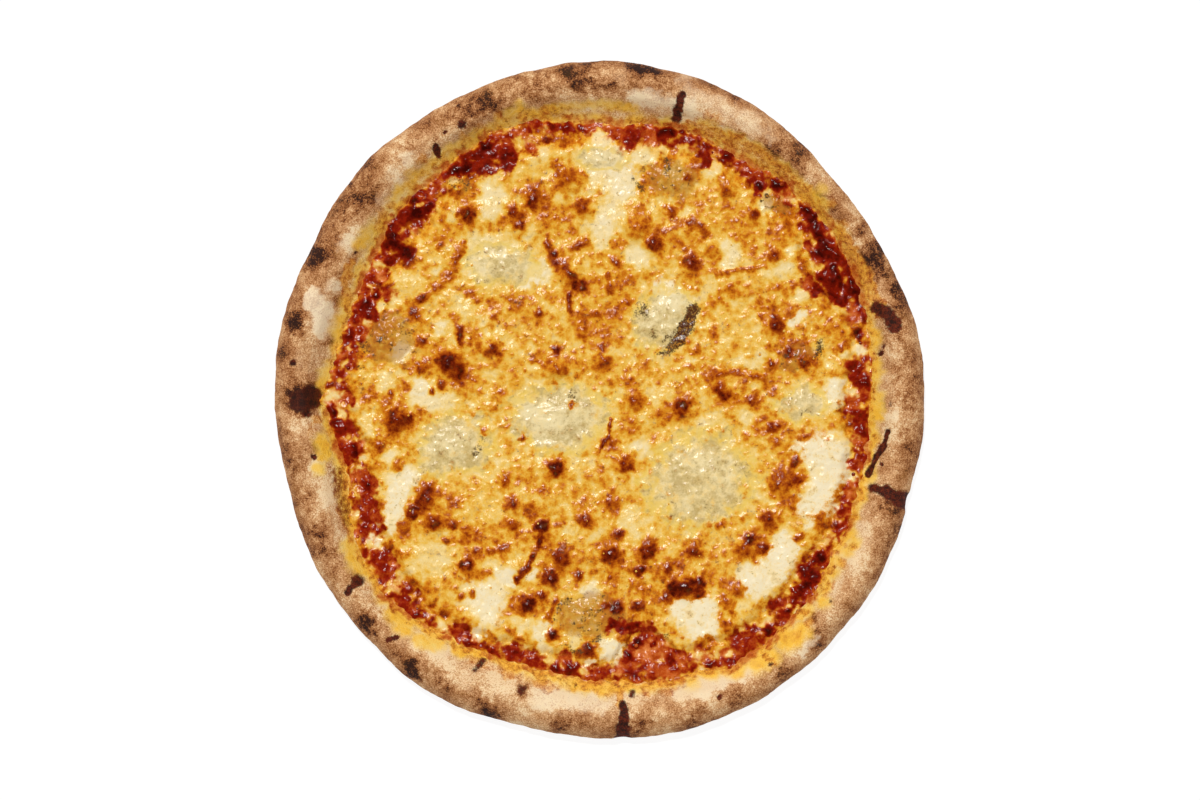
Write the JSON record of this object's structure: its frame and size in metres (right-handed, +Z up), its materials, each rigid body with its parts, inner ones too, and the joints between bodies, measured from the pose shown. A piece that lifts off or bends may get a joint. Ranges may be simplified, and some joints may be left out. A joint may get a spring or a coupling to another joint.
{
  "type": "four cheese pizza",
  "caption": "Whole baked round pizza with a puffed charred rim, tomato sauce, blistered melted cheese, soft cheese slices and blue cheese crumbles; rests flat on its base.",
  "frame": {"origin": "on the underside of the base, below the centre of the pizza's bounding box", "axes": "+Z up, out of the topping; +X to the right and +Y away from the eater, as the picture shows it from above; the pizza is nearly round, so X and Y are set by where the browned spots and creases lie"},
  "size_m": [0.2922, 0.3049, 0.019],
  "materials": {
    "crust": "baked dough, dry and floury",
    "tomato_sauce": "dark, oily and glossy",
    "melted_cheese": "melted, oily, browned in spots",
    "soft_cheese": "pale ivory, moist",
    "blue_cheese": "ochre with grey-green mould, moist"
  },
  "bodies": {
    "root": {"crust": "crust", "tomato_sauce": "tomato_sauce", "melted_cheese": "melted_cheese", "soft_cheese_1": "soft_cheese", "soft_cheese_2": "soft_cheese", "soft_cheese_3": "soft_cheese", "soft_cheese_4": "soft_cheese", "soft_cheese_5": "soft_cheese", "soft_cheese_6": "soft_cheese", "soft_cheese_7": "soft_cheese", "blue_cheese_1": "blue_cheese", "blue_cheese_2": "blue_cheese", "blue_cheese_3": "blue_cheese", "blue_cheese_4": "blue_cheese", "blue_cheese_5": "blue_cheese", "blue_cheese_6": "blue_cheese"}
  },
  "joints": []
}
